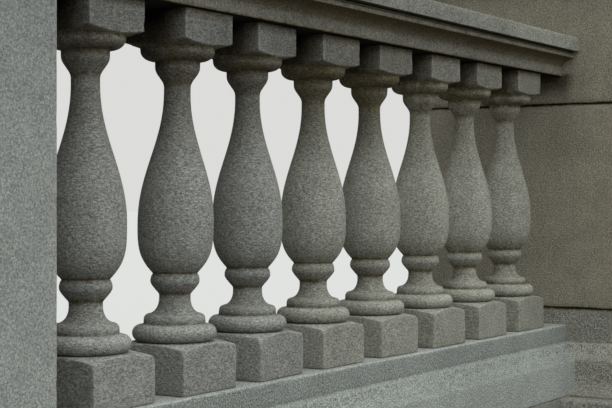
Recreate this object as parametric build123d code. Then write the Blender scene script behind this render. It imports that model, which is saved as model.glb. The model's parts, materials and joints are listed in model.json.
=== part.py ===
from build123d import *
import os

# Stone balustrade: one bay of turned balusters between two piers.
# Millimetres, +X along the row towards the large end pier, +Y to the back, +Z up.
# The origin is on the ground, at the middle of the whole length and depth.

# Setting out of the row
BALUSTER_COUNT = 8
BALUSTER_SPACING = 250.0
PIER_CLEARANCE = 207.0
RETURN_STUB = 110.0

# Baluster: square plinth, turned shaft, square abacus. The lathe also turned the face of plinth and
# abacus towards the shaft, so each is thinner at its corners than at its turned seat.
BALUSTER_HEIGHT = 710.0
PLINTH_WIDTH = 167.0
PLINTH_SEAT_HEIGHT = 92.0
PLINTH_SEAT_RADIUS = 83.5
PLINTH_CORNER_FALL = 13.0
PLINTH_ARRIS = 7.0
ABACUS_WIDTH = 150.0
ABACUS_SEAT_HEIGHT = 62.0
ABACUS_SEAT_RADIUS = 75.0
ABACUS_CORNER_FALL = 6.0
ABACUS_ARRIS = 5.0

# Rings of the turned shaft, from the plinth up
TORUS_RADIUS = 78.0
TORUS_HEIGHT = 32.0
APRON_RADIUS = 55.3
APRON_BAND = 20.0
APRON_RISE = 28.0
LOWER_NECK_RADIUS = 29.2
LOWER_NECK_HEIGHT = 9.0
COLLAR_RADIUS = 45.7
COLLAR_UNDERSIDE = 27.0
COLLAR_TURN_RADIUS = 41.3
COLLAR_TURN_DROP = 10.0
COLLAR_SHOULDER = 11.0
BULB_RADIUS = 72.0
BULB_FOOT_RADIUS = 41.0
BULB_TURN_RADIUS = 64.5
BULB_TURN_RISE = 34.0
BULB_BELLY_RISE = 98.0
UPPER_NECK_RADIUS = 25.4
UPPER_NECK_HEIGHT = 10.0
NECKING_RADIUS = 42.8
NECKING_HEIGHT = 12.0
NECKING_FLARE = 37.0
ECHINUS_RADIUS = 70.7
ECHINUS_HEIGHT = 29.0
ECHINUS_FACE = 9.0
RING_STEP = 3.0

# Ground course under the row
GROUND_COURSE_HEIGHT = 160.0

# Moulded base course: fascia, small step, hollow and upright face
LEDGE_HALF_WIDTH = 100.0
LEDGE_FASCIA = 51.0
STEP_PROJECTION = 10.0
STEP_WEATHERING = 1.0
FACE_PROJECTION = 46.0
BASE_HOLLOW_RISE = 41.0
BASE_FACE = 98.0

# Rail course: fascia, hollow, fillet and quirk
RAIL_HALF_WIDTH = 90.0
RAIL_FASCIA = 27.0
HOLLOW_REACH = 37.0
HOLLOW_RISE = 23.0
RAIL_FILLET = 11.0
RAIL_QUIRK_DEPTH = 6.0
RAIL_QUIRK_HEIGHT = 7.0

# Coping slab with a weathered top
COPING_OVERHANG = 50.0
COPING_EDGE = 42.0
COPING_WEATHERING = 15.0
COPING_ARRIS = 4.0

# Near pier: a pedestal in the line of the row
PIER_BREAK = 30.0
NEAR_PIER_LENGTH = 360.0
DIE_ARRIS = 3.0

# Far pier: the large coursed pier where the rail ends
FAR_PIER_LENGTH = 600.0
FAR_PIER_DEPTH = 818.0
FAR_BASE_BAND = 98.0
FAR_COURSE_HEIGHT = 584.0
FAR_UPPER_COURSE_HEIGHT = 360.0
FAR_PLINTH_PROJECTION = 156.0
FAR_SWEEP_PROJECTION = 105.0
FAR_SWEEP_RISE = 41.0
FAR_SWEEP_EDGE = 2.0
FAR_PLINTH_ARRIS = 5.0
JOINT_CHAMFER = 3.0
FAR_CAP_OVERHANG = 45.0
FAR_CAP_EDGE = 60.0
FAR_CAP_RISE = 35.0

# Levels worked out from the courses
BASE_COURSE_HEIGHT = BASE_FACE + BASE_HOLLOW_RISE + LEDGE_FASCIA
RAIL_COURSE_HEIGHT = RAIL_FASCIA + HOLLOW_RISE + RAIL_FILLET + RAIL_QUIRK_HEIGHT
LEDGE_LEVEL = GROUND_COURSE_HEIGHT + BASE_COURSE_HEIGHT
SOFFIT_LEVEL = LEDGE_LEVEL + BALUSTER_HEIGHT
COPING_LEVEL = SOFFIT_LEVEL + RAIL_COURSE_HEIGHT

# Places along the row, first from the middle of the bay, then from the origin
ROW_LENGTH = (BALUSTER_COUNT - 1) * BALUSTER_SPACING
BAY_HALF = ROW_LENGTH / 2 + PIER_CLEARANCE
NEAR_REACH = BAY_HALF + NEAR_PIER_LENGTH + (LEDGE_HALF_WIDTH - RAIL_HALF_WIDTH) + FACE_PROJECTION
FAR_REACH = BAY_HALF + FAR_PIER_LENGTH + FAR_PLINTH_PROJECTION
BAY_MIDDLE = (NEAR_REACH - FAR_REACH) / 2
NEAR_FACE = BAY_MIDDLE - BAY_HALF
FAR_FACE = BAY_MIDDLE + BAY_HALF
NEAR_JOINT = NEAR_FACE + RETURN_STUB
FAR_JOINT = FAR_FACE - RETURN_STUB
NEAR_PIER_MIDDLE = NEAR_FACE - NEAR_PIER_LENGTH / 2
FAR_PIER_MIDDLE = FAR_FACE + FAR_PIER_LENGTH / 2


def quarter(centre, reach, rise, start_angle):
    """A quarter of an ellipse, turning anticlockwise from its start angle."""
    return EllipticalCenterArc(centre, reach, rise, start_angle=start_angle, arc_size=90)


def closed_profile(half):
    """A half outline on the right of the middle line, mirrored and filled."""
    return make_face(half + mirror(half, about=Plane.YZ))


def base_moulding(half_width, band_height, start):
    """The moulding of the base above the start of its upright face: face, hollow, step, plain band."""
    face = half_width + FACE_PROJECTION
    step = half_width + STEP_PROJECTION
    step_level = BASE_FACE + BASE_HOLLOW_RISE
    top = step_level + band_height
    moulding = Line((face, start), (face, BASE_FACE))
    moulding += quarter((face, step_level), face - step, BASE_HOLLOW_RISE, 180)
    moulding += Polyline(
        (step, step_level),
        (half_width, step_level + STEP_WEATHERING),
        (half_width, top),
        (0, top),
    )
    return moulding


def base_profile(half_width):
    """Base of the row and of the near pier: an upright face from the bed, hollow, step, fascia."""
    foot = Line((0, 0), (half_width + FACE_PROJECTION, 0))
    return closed_profile(foot + base_moulding(half_width, LEDGE_FASCIA, 0))


def far_base_profile(half_width):
    """Base of the far pier: the same moulding under a higher band, its face swept out at the foot."""
    face = half_width + FACE_PROJECTION
    sweep = half_width + FAR_SWEEP_PROJECTION
    sweep_top = FAR_SWEEP_EDGE + FAR_SWEEP_RISE
    foot = Polyline((0, 0), (sweep, 0), (sweep, FAR_SWEEP_EDGE))
    foot += quarter((sweep, sweep_top), sweep - face, FAR_SWEEP_RISE, 180)
    return closed_profile(foot + base_moulding(half_width, FAR_BASE_BAND, sweep_top))


def rail_profile(half_width):
    """Rail course: fascia, quarter hollow, fillet and recessed quirk under the coping."""
    band = half_width + HOLLOW_REACH
    quirk = band - RAIL_QUIRK_DEPTH
    hollow_top = RAIL_FASCIA + HOLLOW_RISE
    fillet_top = hollow_top + RAIL_FILLET
    half = Polyline((0, 0), (half_width, 0), (half_width, RAIL_FASCIA))
    half += quarter((band, RAIL_FASCIA), HOLLOW_REACH, HOLLOW_RISE, 90)
    half += Polyline(
        (band, hollow_top),
        (band, fillet_top),
        (quirk, fillet_top),
        (quirk, RAIL_COURSE_HEIGHT),
        (0, RAIL_COURSE_HEIGHT),
    )
    return closed_profile(half)


def coping_profile(half_width, overhang, edge_height, weathering):
    """Coping slab: upright edge, rounded arris, top falling to both sides."""
    edge = half_width + overhang
    arris_low = edge_height - COPING_ARRIS
    half = Polyline((0, 0), (edge, 0), (edge, arris_low))
    half += RadiusArc((edge, arris_low), (edge - COPING_ARRIS, edge_height), -COPING_ARRIS)
    half += Line((edge - COPING_ARRIS, edge_height), (0, edge_height + weathering))
    return closed_profile(half)


def row_coping_profile(half_width):
    return coping_profile(half_width, COPING_OVERHANG, COPING_EDGE, COPING_WEATHERING)


def run(profile, start, end, level):
    """A profile carried straight along the row, from start to end, at a level."""
    return Pos(start, 0, level) * extrude(Plane.YZ * profile, amount=end - start)


def mitred_block(front_profile, side_profile, middle, level):
    """A block with the moulding returned round all four sides, mitred at the corners."""
    reach = front_profile.bounding_box().size.X + side_profile.bounding_box().size.X
    along = extrude(Plane.YZ * front_profile, amount=reach, both=True)
    across = extrude(Plane.XZ * side_profile, amount=reach, both=True)
    return Pos(middle, 0, level) * (along & across)


def stone_block(length, width, height, middle, level):
    """A plain squared stone standing on a level."""
    return Pos(middle, 0, level) * Box(length, width, height, align=(Align.CENTER, Align.CENTER, Align.MIN))


def vertical_edges(solid):
    return solid.edges().filter_by(Axis.Z)


def turned_end_block(width, seat_height, seat_radius, corner_fall, arris):
    """A square block with a turned upper end: level inside the seat radius, falling to the corners."""
    corner_reach = width / 2 * 2**0.5
    corner_height = seat_height - corner_fall
    outline = Polyline(
        (0, 0),
        (corner_reach, 0),
        (corner_reach, corner_height),
        (seat_radius, seat_height),
        (0, seat_height),
        close=True,
    )
    turned_blank = revolve(Plane.XZ * make_face(outline), axis=Axis.Z)
    block = stone_block(width, width, seat_height, 0, 0)
    return fillet(vertical_edges(block), arris) & turned_blank


def turned_shaft():
    """The turned part of a baluster, from the plinth to the abacus."""
    torus_low = PLINTH_SEAT_HEIGHT
    torus_top = torus_low + TORUS_HEIGHT
    torus_mid = torus_low + TORUS_HEIGHT / 2
    torus_core = TORUS_RADIUS - TORUS_HEIGHT / 2
    apron_core = APRON_RADIUS - RING_STEP
    apron_top = torus_top + APRON_BAND
    neck_low = apron_top + APRON_RISE
    neck_top = neck_low + LOWER_NECK_HEIGHT
    collar_widest = neck_top + COLLAR_UNDERSIDE
    collar_top = collar_widest + COLLAR_SHOULDER
    belly = collar_top + BULB_BELLY_RISE
    shaft_top = BALUSTER_HEIGHT - ABACUS_SEAT_HEIGHT
    echinus_low = shaft_top - ECHINUS_HEIGHT
    echinus_turn = shaft_top - ECHINUS_FACE
    echinus_foot = NECKING_RADIUS + RING_STEP
    necking_low = echinus_low - NECKING_HEIGHT
    flare_low = necking_low - NECKING_FLARE
    bulb_top = flare_low - UPPER_NECK_HEIGHT
    outline = Line((0, torus_low), (torus_core, torus_low))
    outline += ThreePointArc((torus_core, torus_low), (TORUS_RADIUS, torus_mid), (torus_core, torus_top))
    outline += Polyline(
        (torus_core, torus_top),
        (APRON_RADIUS, torus_top),
        (APRON_RADIUS, apron_top - RING_STEP),
    )
    outline += quarter((apron_core, apron_top - RING_STEP), RING_STEP, RING_STEP, 0)
    outline += quarter((apron_core, neck_low), apron_core - LOWER_NECK_RADIUS, APRON_RISE, 180)
    outline += Line((LOWER_NECK_RADIUS, neck_low), (LOWER_NECK_RADIUS, neck_top))
    outline += Spline(
        (LOWER_NECK_RADIUS, neck_top),
        (COLLAR_TURN_RADIUS, collar_widest - COLLAR_TURN_DROP),
        (COLLAR_RADIUS, collar_widest),
        tangents=[(1, 1), (0, 1)],
    )
    outline += quarter(
        (BULB_FOOT_RADIUS, collar_widest), COLLAR_RADIUS - BULB_FOOT_RADIUS, COLLAR_SHOULDER, 0
    )
    outline += Spline(
        (BULB_FOOT_RADIUS, collar_top),
        (BULB_TURN_RADIUS, collar_top + BULB_TURN_RISE),
        (BULB_RADIUS, belly),
        tangents=[(1, 1), (0, 1)],
    )
    outline += Spline(
        (BULB_RADIUS, belly),
        (UPPER_NECK_RADIUS, bulb_top),
        tangents=[(0, 1), (0, 1)],
    )
    outline += Line((UPPER_NECK_RADIUS, bulb_top), (UPPER_NECK_RADIUS, flare_low))
    outline += Spline(
        (UPPER_NECK_RADIUS, flare_low),
        (NECKING_RADIUS, necking_low),
        tangents=[(0, 1), (0, 1)],
    )
    outline += Polyline(
        (NECKING_RADIUS, necking_low),
        (NECKING_RADIUS, echinus_low),
        (echinus_foot, echinus_low),
    )
    outline += quarter(
        (echinus_foot, echinus_turn), ECHINUS_RADIUS - echinus_foot, echinus_turn - echinus_low, 270
    )
    outline += Polyline(
        (ECHINUS_RADIUS, echinus_turn),
        (ECHINUS_RADIUS, shaft_top),
        (0, shaft_top),
        (0, torus_low),
    )
    return revolve(Plane.XZ * make_face(outline), axis=Axis.Z)


def baluster():
    """One baluster, worked from a single stone: plinth, turned shaft and abacus."""
    plinth = turned_end_block(
        PLINTH_WIDTH, PLINTH_SEAT_HEIGHT, PLINTH_SEAT_RADIUS, PLINTH_CORNER_FALL, PLINTH_ARRIS
    )
    abacus = turned_end_block(
        ABACUS_WIDTH, ABACUS_SEAT_HEIGHT, ABACUS_SEAT_RADIUS, ABACUS_CORNER_FALL, ABACUS_ARRIS
    )
    hung_abacus = Pos(0, 0, BALUSTER_HEIGHT) * Rot(180, 0, 0) * abacus
    return plinth + turned_shaft() + hung_abacus


def jointed_course(height, level):
    """A course of the far pier, its level edges chamfered so that courses meet in a sunk joint."""
    stone = stone_block(FAR_PIER_LENGTH, FAR_PIER_DEPTH, height, FAR_PIER_MIDDLE, level)
    levels = stone.faces().sort_by(Axis.Z)
    return chamfer(levels[0].edges() + levels[-1].edges(), JOINT_CHAMFER)


def save(solid, name):
    """Write one stone to its own file."""
    export_step(solid, os.path.join("parts", name + ".step"))


def save_lengths(name, profile, joints, level):
    """Cut a moulding into stones at the joints, numbered from the near pier."""
    for number, (start, end) in enumerate(zip(joints, joints[1:]), start=1):
        save(run(profile, start, end, level), f"{name}_{number}")


os.makedirs("parts", exist_ok=True)

row_base = base_profile(LEDGE_HALF_WIDTH)
row_rail = rail_profile(RAIL_HALF_WIDTH)
row_coping = row_coping_profile(RAIL_HALF_WIDTH)

# Ground course: plain stones from pier to pier, flush with the face of the base, jointed in the middle
near_ledge_length = NEAR_PIER_LENGTH + 2 * (LEDGE_HALF_WIDTH - RAIL_HALF_WIDTH)
near_ground_length = near_ledge_length + 2 * FACE_PROJECTION
ground_width = 2 * (LEDGE_HALF_WIDTH + FACE_PROJECTION)
ground_joints = [
    NEAR_PIER_MIDDLE + near_ground_length / 2,
    BAY_MIDDLE,
    FAR_FACE - FAR_PLINTH_PROJECTION,
]
for number, (start, end) in enumerate(zip(ground_joints, ground_joints[1:]), start=1):
    stone = stone_block(end - start, ground_width, GROUND_COURSE_HEIGHT, (start + end) / 2, 0)
    save(stone, f"ground_course_{number}")

# Moulded base course: joints between balusters
base_joints = [NEAR_JOINT, BAY_MIDDLE - BALUSTER_SPACING, BAY_MIDDLE + BALUSTER_SPACING, FAR_JOINT]
save_lengths("base_course", row_base, base_joints, GROUND_COURSE_HEIGHT)

# Balusters, evenly spaced
whole_baluster = baluster()
for number in range(1, BALUSTER_COUNT + 1):
    place = BAY_MIDDLE - ROW_LENGTH / 2 + (number - 1) * BALUSTER_SPACING
    save(Pos(place, 0, LEDGE_LEVEL) * whole_baluster, f"baluster_{number}")

# Rail course: joints bear on balusters, and the last stone dies into the far pier
bearing = BALUSTER_SPACING * 1.5
rail_joints = [NEAR_JOINT, BAY_MIDDLE - bearing, BAY_MIDDLE + bearing, FAR_FACE]
save_lengths("rail", row_rail, rail_joints, SOFFIT_LEVEL)

# Coping: two long slabs that cover the joints of the rail
save_lengths("coping", row_coping, [NEAR_JOINT, BAY_MIDDLE, FAR_FACE], COPING_LEVEL)

# Near pier: its mouldings break forward and return round all sides, with a stub of the row
near_width = 2 * (RAIL_HALF_WIDTH + PIER_BREAK)
near_ground = stone_block(
    near_ground_length,
    ground_width + 2 * PIER_BREAK,
    GROUND_COURSE_HEIGHT,
    NEAR_PIER_MIDDLE,
    0,
)
save(near_ground, "near_pier_ground_course")

near_base = mitred_block(
    base_profile(LEDGE_HALF_WIDTH + PIER_BREAK),
    base_profile(near_ledge_length / 2),
    NEAR_PIER_MIDDLE,
    GROUND_COURSE_HEIGHT,
)
near_base += run(row_base, NEAR_PIER_MIDDLE, NEAR_JOINT, GROUND_COURSE_HEIGHT)
save(near_base, "near_pier_base")

near_die = stone_block(NEAR_PIER_LENGTH, near_width, BALUSTER_HEIGHT, NEAR_PIER_MIDDLE, LEDGE_LEVEL)
save(fillet(vertical_edges(near_die), DIE_ARRIS), "near_pier_die")

near_rail = mitred_block(
    rail_profile(RAIL_HALF_WIDTH + PIER_BREAK),
    rail_profile(NEAR_PIER_LENGTH / 2),
    NEAR_PIER_MIDDLE,
    SOFFIT_LEVEL,
)
near_rail += run(row_rail, NEAR_PIER_MIDDLE, NEAR_JOINT, SOFFIT_LEVEL)
save(near_rail, "near_pier_rail")

near_coping = mitred_block(
    row_coping_profile(RAIL_HALF_WIDTH + PIER_BREAK),
    row_coping_profile(NEAR_PIER_LENGTH / 2),
    NEAR_PIER_MIDDLE,
    COPING_LEVEL,
)
near_coping += run(row_coping, NEAR_PIER_MIDDLE, NEAR_JOINT, COPING_LEVEL)
save(near_coping, "near_pier_coping")

# Far pier: spreading plinth, moulded base that meets the base of the row, two courses, cap
far_plinth = stone_block(
    FAR_PIER_LENGTH + 2 * FAR_PLINTH_PROJECTION,
    FAR_PIER_DEPTH + 2 * FAR_PLINTH_PROJECTION,
    GROUND_COURSE_HEIGHT,
    FAR_PIER_MIDDLE,
    0,
)
far_plinth = chamfer(far_plinth.faces().sort_by(Axis.Z)[-1].edges(), FAR_PLINTH_ARRIS)
save(far_plinth, "far_pier_plinth")

far_base = mitred_block(
    far_base_profile(FAR_PIER_DEPTH / 2),
    far_base_profile(FAR_PIER_LENGTH / 2),
    FAR_PIER_MIDDLE,
    GROUND_COURSE_HEIGHT,
)
far_base = chamfer(far_base.faces().sort_by(Axis.Z)[-1].edges(), JOINT_CHAMFER)
far_base += run(row_base, FAR_JOINT, FAR_PIER_MIDDLE, GROUND_COURSE_HEIGHT)
save(far_base, "far_pier_base")

lower_level = LEDGE_LEVEL - LEDGE_FASCIA + FAR_BASE_BAND
upper_level = lower_level + FAR_COURSE_HEIGHT
cap_level = upper_level + FAR_UPPER_COURSE_HEIGHT
save(jointed_course(FAR_COURSE_HEIGHT, lower_level), "far_pier_lower_course")
save(jointed_course(FAR_UPPER_COURSE_HEIGHT, upper_level), "far_pier_upper_course")

far_cap = mitred_block(
    coping_profile(FAR_PIER_DEPTH / 2, FAR_CAP_OVERHANG, FAR_CAP_EDGE, FAR_CAP_RISE),
    coping_profile(FAR_PIER_LENGTH / 2, FAR_CAP_OVERHANG, FAR_CAP_EDGE, FAR_CAP_RISE),
    FAR_PIER_MIDDLE,
    cap_level,
)
save(far_cap, "far_pier_cap")
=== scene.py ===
# %% [markdown]
# # A bay of stone balustrade
# The object is one bay of a stone balustrade: turned balusters stand on a moulded base course and carry a
# moulded rail and its coping, between a pedestal pier on the left and a larger coursed pier on the right.
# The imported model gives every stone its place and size. This lesson dresses it: each stone is worked again
# as a surface with worn arrises, and gets a granular stone finish with dirt in its recesses.

# %% Load the frame
import itertools
import json
import math

import bpy
import numpy as np
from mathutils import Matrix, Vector

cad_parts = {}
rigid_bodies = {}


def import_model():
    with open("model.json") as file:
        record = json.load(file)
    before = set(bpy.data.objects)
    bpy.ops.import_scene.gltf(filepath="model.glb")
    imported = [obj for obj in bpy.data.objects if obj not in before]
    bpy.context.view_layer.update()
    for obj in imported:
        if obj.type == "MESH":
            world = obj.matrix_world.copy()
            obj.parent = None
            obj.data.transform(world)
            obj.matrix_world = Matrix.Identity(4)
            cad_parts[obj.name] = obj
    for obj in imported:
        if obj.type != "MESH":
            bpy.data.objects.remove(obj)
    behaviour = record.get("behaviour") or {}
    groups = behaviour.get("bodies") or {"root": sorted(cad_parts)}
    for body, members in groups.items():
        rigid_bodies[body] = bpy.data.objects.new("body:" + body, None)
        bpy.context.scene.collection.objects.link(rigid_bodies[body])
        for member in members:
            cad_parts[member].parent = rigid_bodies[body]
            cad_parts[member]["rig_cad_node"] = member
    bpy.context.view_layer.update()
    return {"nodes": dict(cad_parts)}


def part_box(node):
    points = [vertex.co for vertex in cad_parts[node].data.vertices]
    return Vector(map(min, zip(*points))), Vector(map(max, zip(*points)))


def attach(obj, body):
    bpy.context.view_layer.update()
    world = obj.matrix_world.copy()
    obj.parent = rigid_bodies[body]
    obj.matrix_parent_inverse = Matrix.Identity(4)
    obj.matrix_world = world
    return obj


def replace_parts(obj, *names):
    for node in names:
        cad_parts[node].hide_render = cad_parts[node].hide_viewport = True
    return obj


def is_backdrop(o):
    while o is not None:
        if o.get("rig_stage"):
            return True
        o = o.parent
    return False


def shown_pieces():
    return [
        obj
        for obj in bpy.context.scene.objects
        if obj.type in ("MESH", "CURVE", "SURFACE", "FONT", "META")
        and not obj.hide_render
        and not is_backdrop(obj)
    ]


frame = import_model()
mm = 0.001
scene = bpy.context.scene
print("nodes in the frame:", len(frame["nodes"]))

# %% [markdown]
# ## The camera
# The picture is taken from in front of the near pier, at the height of the balusters' upper necks, looking
# along the row. The place was worked out from the balusters themselves, because they are alike and evenly
# spaced: how fast they shrink gives the distance, and where their level edges meet gives the heading. So the
# camera's place is written in baluster spacings, from the first baluster's axis and the ledge it stands on.

# %% Set up the camera
first_low, first_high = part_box("baluster_1")
gaps_in_row = 7
spacing = (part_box("baluster_8")[0].x - first_low.x) / gaps_in_row
row_start = Vector(((first_low.x + first_high.x) / 2, 0, first_low.z))
eye_in_spacings = Vector((-7.5904, -6.5898, 1.4396))
eye = row_start + spacing * eye_in_spacings
heading = math.radians(32.207)
focal_length_px = 1426.1
picture_width, picture_height = 612, 408
horizon_row = 198.84
horizon_above_middle_px = picture_height / 2 - horizon_row

camera_data = bpy.data.cameras.new("camera")
camera_data.sensor_width = 36
camera_data.lens = camera_data.sensor_width * focal_length_px / picture_width
camera_data.shift_y = -horizon_above_middle_px / picture_width
camera_data.clip_end = 200
camera = bpy.data.objects.new("camera", camera_data)
scene.collection.objects.link(camera)
camera.location = eye
right_angle = math.radians(90)
camera.rotation_euler = (right_angle, 0, heading - right_angle)
scene.camera = camera
print("camera at", [round(v, 3) for v in eye], "lens", round(camera_data.lens, 1), "mm")

# %% [markdown]
# ## Light
# The stone stands under a soft grey sky. The sky is open above, in front and to the left, and shut off
# behind, so the turned shapes darken towards the back. Lamps would have to be large and many to be as soft,
# so here the world itself is the lamp: its brightness rises smoothly towards one high place in front. The
# floor is pale to the camera but reflects less than a studio floor would, because stone undersides are dark
# in the open air.

# %% Tools for light and floor


def add_node(tree, kind, **values):
    """A node of the kind, with the named input sockets set."""
    node = tree.nodes.new(kind)
    for socket, value in values.items():
        node.inputs[socket.replace("_", " ")].default_value = value
    return node


def split_by_camera_ray(tree, for_light, for_camera, out):
    """Light meets the first shader, and the camera's own rays meet the second."""
    ray = tree.nodes.new("ShaderNodeLightPath")
    mix = tree.nodes.new("ShaderNodeMixShader")
    tree.links.new(ray.outputs["Is Camera Ray"], mix.inputs[0])
    tree.links.new(for_light.outputs[0], mix.inputs[1])
    tree.links.new(for_camera.outputs[0], mix.inputs[2])
    tree.links.new(mix.outputs[0], out.inputs[0])


# %% Light the stage
scene.view_settings.view_transform = "Standard"
brightest_way = Vector((-0.05, -0.70, 0.70)).normalized()
darkest_cosine, brightest_cosine = -0.1, 1.0
darkest, brightest = 0.21, 1.70
sky_colour = (0.98, 1.0, 0.99, 1)
backdrop_colour = (0.72, 0.72, 0.72 * 0.985, 1)


def world_of_soft_sky():
    """Radiance rises smoothly, from darkest to brightest, with the cosine between a direction and the
    brightest way. The camera sees a plain backdrop instead."""
    world = bpy.data.worlds.new("soft_sky")
    scene.world = world
    world.use_nodes = True
    tree = world.node_tree
    tree.nodes.clear()
    out = tree.nodes.new("ShaderNodeOutputWorld")
    direction = tree.nodes.new("ShaderNodeTexCoord").outputs["Generated"]
    cosine = tree.nodes.new("ShaderNodeVectorMath")
    cosine.operation = "DOT_PRODUCT"
    cosine.inputs[1].default_value = brightest_way
    tree.links.new(direction, cosine.inputs[0])
    rise = add_node(tree, "ShaderNodeMapRange", From_Min=darkest_cosine, From_Max=brightest_cosine,
                    To_Min=darkest, To_Max=brightest)
    rise.interpolation_type = "SMOOTHSTEP"
    tree.links.new(cosine.outputs["Value"], rise.inputs["Value"])
    sky = add_node(tree, "ShaderNodeBackground", Color=sky_colour)
    tree.links.new(rise.outputs[0], sky.inputs["Strength"])
    backdrop = add_node(tree, "ShaderNodeBackground", Color=backdrop_colour, Strength=1)
    split_by_camera_ray(tree, sky, backdrop, out)


world_of_soft_sky()
print("sky set, from", darkest, "to", brightest)

# %% Lay the floor
floor_reach = 60
floor_corners = [(-1, -1), (1, -1), (1, 1), (-1, 1)]
floor_mesh = bpy.data.meshes.new("floor")
floor_mesh.from_pydata([(x * floor_reach, y * floor_reach, 0) for x, y in floor_corners], [], [(0, 1, 2, 3)])
floor = bpy.data.objects.new("floor", floor_mesh)
scene.collection.objects.link(floor)
floor_finish = bpy.data.materials.new("floor")
floor_finish.use_nodes = True
floor_tree = floor_finish.node_tree
floor_tree.nodes.clear()
dull = add_node(floor_tree, "ShaderNodeBsdfDiffuse", Color=(0.25, 0.25, 0.24, 1))
pale = add_node(floor_tree, "ShaderNodeBsdfDiffuse", Color=(0.74, 0.74, 0.73, 1))
split_by_camera_ray(floor_tree, dull, pale, floor_tree.nodes.new("ShaderNodeOutputMaterial"))
floor_mesh.materials.append(floor_finish)
floor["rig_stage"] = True
print("floor laid,", 2 * floor_reach, "m wide")

# %% [markdown]
# ## The stone
# Seen close, the stone is a fine grained grey with dark and pale grains, tooled to an even granular skin.
# Rain washes the open faces pale, and they also carry painted top light. Under the coping no rain comes, so
# soot stays on the rail and the abaci, and dirt stays brown in every hollow; with both goes painted shade,
# under the rail, on undersides and on the sides turned from the light. An image of stone would need
# unwrapping, so the finish is worked out from the place of each point instead: noise of several sizes for
# stain, mottle and grain, and four attributes that each surface carries: how much of an arris it is, how much
# brown dirt and painted shade it holds, how much soot and painted shade it holds, and its tone, which is the
# stone's own times how pale the rain has washed it and the painted light and shade on it.

# %% Nodes for the stone finish


def noise_of(tree, place, scale, detail, roughness=0.55):
    """Smooth noise with the given number of cells in a metre, refined by the detail."""
    noise = add_node(tree, "ShaderNodeTexNoise", Scale=scale, Detail=detail, Roughness=roughness)
    tree.links.new(place, noise.inputs["Vector"])
    return noise.outputs["Fac"]


def spread(tree, value, low, high, to_low=0.0, to_high=1.0):
    """Maps a value's span from low to high onto another span, clamped."""
    node = add_node(tree, "ShaderNodeMapRange", From_Min=low, From_Max=high, To_Min=to_low, To_Max=to_high)
    tree.links.new(value, node.inputs["Value"])
    return node.outputs[0]


def combine(tree, operation, a, b):
    """Arithmetic of two values, each a socket or a number."""
    node = tree.nodes.new("ShaderNodeMath")
    node.operation = operation
    for value, socket in zip((a, b), node.inputs):
        if isinstance(value, (int, float)):
            socket.default_value = value
        else:
            tree.links.new(value, socket)
    return node.outputs[0]


def blend_colour(tree, share, a, b, how="MIX"):
    """Blends two colours by a share. Each of the three is a socket or a plain value."""
    node = tree.nodes.new("ShaderNodeMix")
    node.data_type = "RGBA"
    node.blend_type = how
    for value, socket in ((share, node.inputs[0]), (a, node.inputs[6]), (b, node.inputs[7])):
        if isinstance(value, (int, float)):
            socket.default_value = value
        elif isinstance(value, tuple):
            socket.default_value = (*value, 1)
        else:
            tree.links.new(value, socket)
    return node.outputs[2]


def carried(tree, name):
    """The value that a surface carries under a name."""
    node = tree.nodes.new("ShaderNodeAttribute")
    node.attribute_name = name
    return node.outputs["Fac"]


# %% Make the stone finishes
usual = (0.3, 0.7)  # the span in which most of a noise lies
most = 0.96  # the largest share of soot or of dirt
gloss = 0.10
# Cells of noise in a metre, from broad stains to single grains
stain_cells, soot_cells, mottle_cells, dirt_cells, rub_cells = 3.2, 14, 18, 45, 60
coarse_cells, grit_cells, fine_cells = 240, 330, 520
soot_and_shade_black = (0.010, 0.008, 0.003)


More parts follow.
